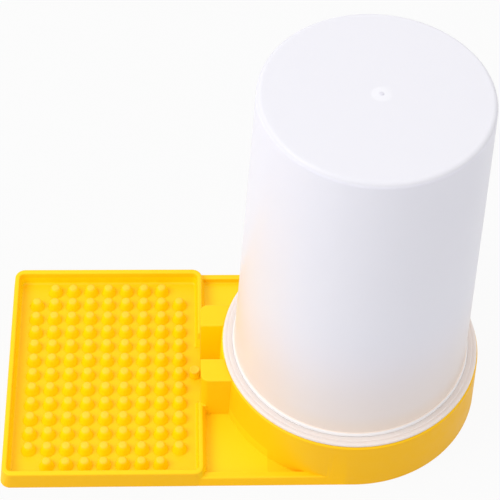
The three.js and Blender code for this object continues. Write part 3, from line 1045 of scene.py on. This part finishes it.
def stop_hollow():
    """The space inside that stop, open to the ground, which leaves the ring's wall whole."""
    hollow = as_object("stop_hollow", block(
        (STOP_FACE_X + STOP_WALL, STOP_INNER_Y + STOP_WALL, -OVERRUN),
        (-RING_FOOT_RADIUS + 2 * OVERRUN, STOP_OUTER_Y - STOP_WALL, RING_TOP_Z - STOP_WALL),
    ))
    ring_solid = [
        (0.0, -2 * OVERRUN),
        (RING_FOOT_RADIUS, -2 * OVERRUN),
        (RING_FOOT_RADIUS, RING_TOP_Z),
        (0.0, RING_TOP_Z),
    ]
    cut(hollow, turned(unrounded(ring_solid)))
    return taken_back(hollow)


def stud_field():
    """All the studs as one mesh: one stud is turned, then copied over the even grid."""
    stud = turned(unrounded(STUD_OUTLINE), steps=STUD_SIDES)
    stud_mesh = bpy.data.meshes.new("stud")
    stud.to_mesh(stud_mesh)
    stud.free()
    field = bmesh.new()
    for column in range(STUD_COLUMNS):
        for row in range(STUD_ROWS):
            if column in (0, STUD_COLUMNS - 1) and row in (0, STUD_ROWS - 1):
                continue
            known = set(field.verts)
            field.from_mesh(stud_mesh)
            place = Vector((
                STUD_CENTRE_X + (column - (STUD_COLUMNS - 1) / 2) * STUD_PITCH_X,
                (row - (STUD_ROWS - 1) / 2) * STUD_PITCH_Y,
                FLOOR_Z,
            ))
            bmesh.ops.translate(field, vec=place, verts=[v for v in field.verts if v not in known])
    bpy.data.meshes.remove(stud_mesh)
    return field


def mouth_boss():
    """Round moulding boss in the mouth of the channel, with a soft lip and a shallow dish."""
    dish_z = BOSS_TOP_Z - BOSS_DISH_DEPTH
    profile = [
        (0.0, FLOOR_Z - OVERRUN, 0),
        (BOSS_RADIUS, FLOOR_Z - OVERRUN, 0),
        (BOSS_RADIUS - BOSS_LEAN, BOSS_TOP_Z, BOSS_ROUNDING),
        (BOSS_DISH_RADIUS, dish_z, BOSS_DISH_ROUNDING),
        (0.0, dish_z, 0),
    ]
    bm = turned(profile, steps=BOSS_STEPS, segments=SMALL_EDGE_STEPS)
    bmesh.ops.translate(bm, vec=(BOSS_X, 0, 0), verts=bm.verts)
    return bm


def make_base(material):
    tray = as_object("tray", tray_body())
    cut(tray, tray_notch())
    join(tray, stud_field())
    piece = as_object("base_moulding", low_plate())
    cut(piece, plate_pocket())
    join(piece, ring_body())
    join(piece, taken_back(tray))
    join(piece, rim_ear(), both_sides=True)
    join(piece, stop_block(), both_sides=True)
    cut(piece, well_cut())
    cut(piece, outlet_window())
    cut(piece, stop_hollow(), both_sides=True)
    join(piece, mouth_boss())
    finish_piece(piece, "base", "feeder_base", material, BASE_SHARP_DEGREES)


# Studio

def camera_at_the_photo_angle():
    data = bpy.data.cameras.new("photo_camera")
    data.lens = CAMERA_LENS
    data.sensor_width = CAMERA_SENSOR
    data.shift_x, data.shift_y = CAMERA_SHIFT
    data.clip_end = CAMERA_REACH * METRE
    camera = bpy.data.objects.new("photo_camera", data)
    bpy.context.scene.collection.objects.link(camera)
    ahead = Vector(CAMERA_AHEAD).normalized()
    right = Vector(CAMERA_RIGHT).normalized()
    up = right.cross(ahead).normalized()
    turn = Matrix((right, up, -ahead)).transposed().to_4x4()
    camera.matrix_world = Matrix.Translation(Vector(CAMERA_PLACE) * METRE) @ turn
    bpy.context.scene.camera = camera


def soft_lamp(name, place, target, size, power):
    """A round area lamp that looks at its target."""
    data = bpy.data.lights.new(name, "AREA")
    data.shape = "DISK"
    data.size = size * METRE
    data.energy = power
    lamp = bpy.data.objects.new(name, data)
    bpy.context.scene.collection.objects.link(lamp)
    turn = (Vector(target) - Vector(place)).to_track_quat("-Z", "Y").to_matrix().to_4x4()
    lamp.matrix_world = Matrix.Translation(Vector(place) * METRE) @ turn


def lay_floor(material):
    bm = bmesh.new()
    bmesh.ops.create_grid(bm, x_segments=1, y_segments=1, size=FLOOR_REACH * METRE)
    floor = as_object("floor", bm)
    floor.data.materials.append(material)


def light_the_world():
    """Even light from all round, which the camera, reflections and glass see as white."""
    world = bpy.data.worlds.new("studio")
    bpy.context.scene.world = world
    world.use_nodes = True
    sky = Finish("studio", world.node_tree)
    plain = sky.node("ShaderNodeBackground", {}, {"Color": WHITE, "Strength": WORLD_STRENGTH})
    seen = sky.node("ShaderNodeBackground", {}, {"Color": WHITE, "Strength": 1.0})
    both = sky.node("ShaderNodeMixShader", {}, {0: sky.seen_directly(), 1: plain, 2: seen})
    sky.node("ShaderNodeOutputWorld", {}, {"Surface": both})


camera_at_the_photo_angle()
make_cup(milky_cup())
make_lid(milky_lid())
make_seal(pale_rubber())
make_base(yellow_moulding())
lay_floor(studio_floor())
light_the_world()
soft_lamp("key", KEY_PLACE, KEY_TARGET, KEY_SIZE, KEY_POWER)

scene = bpy.context.scene
scene.view_settings.view_transform = "Standard"
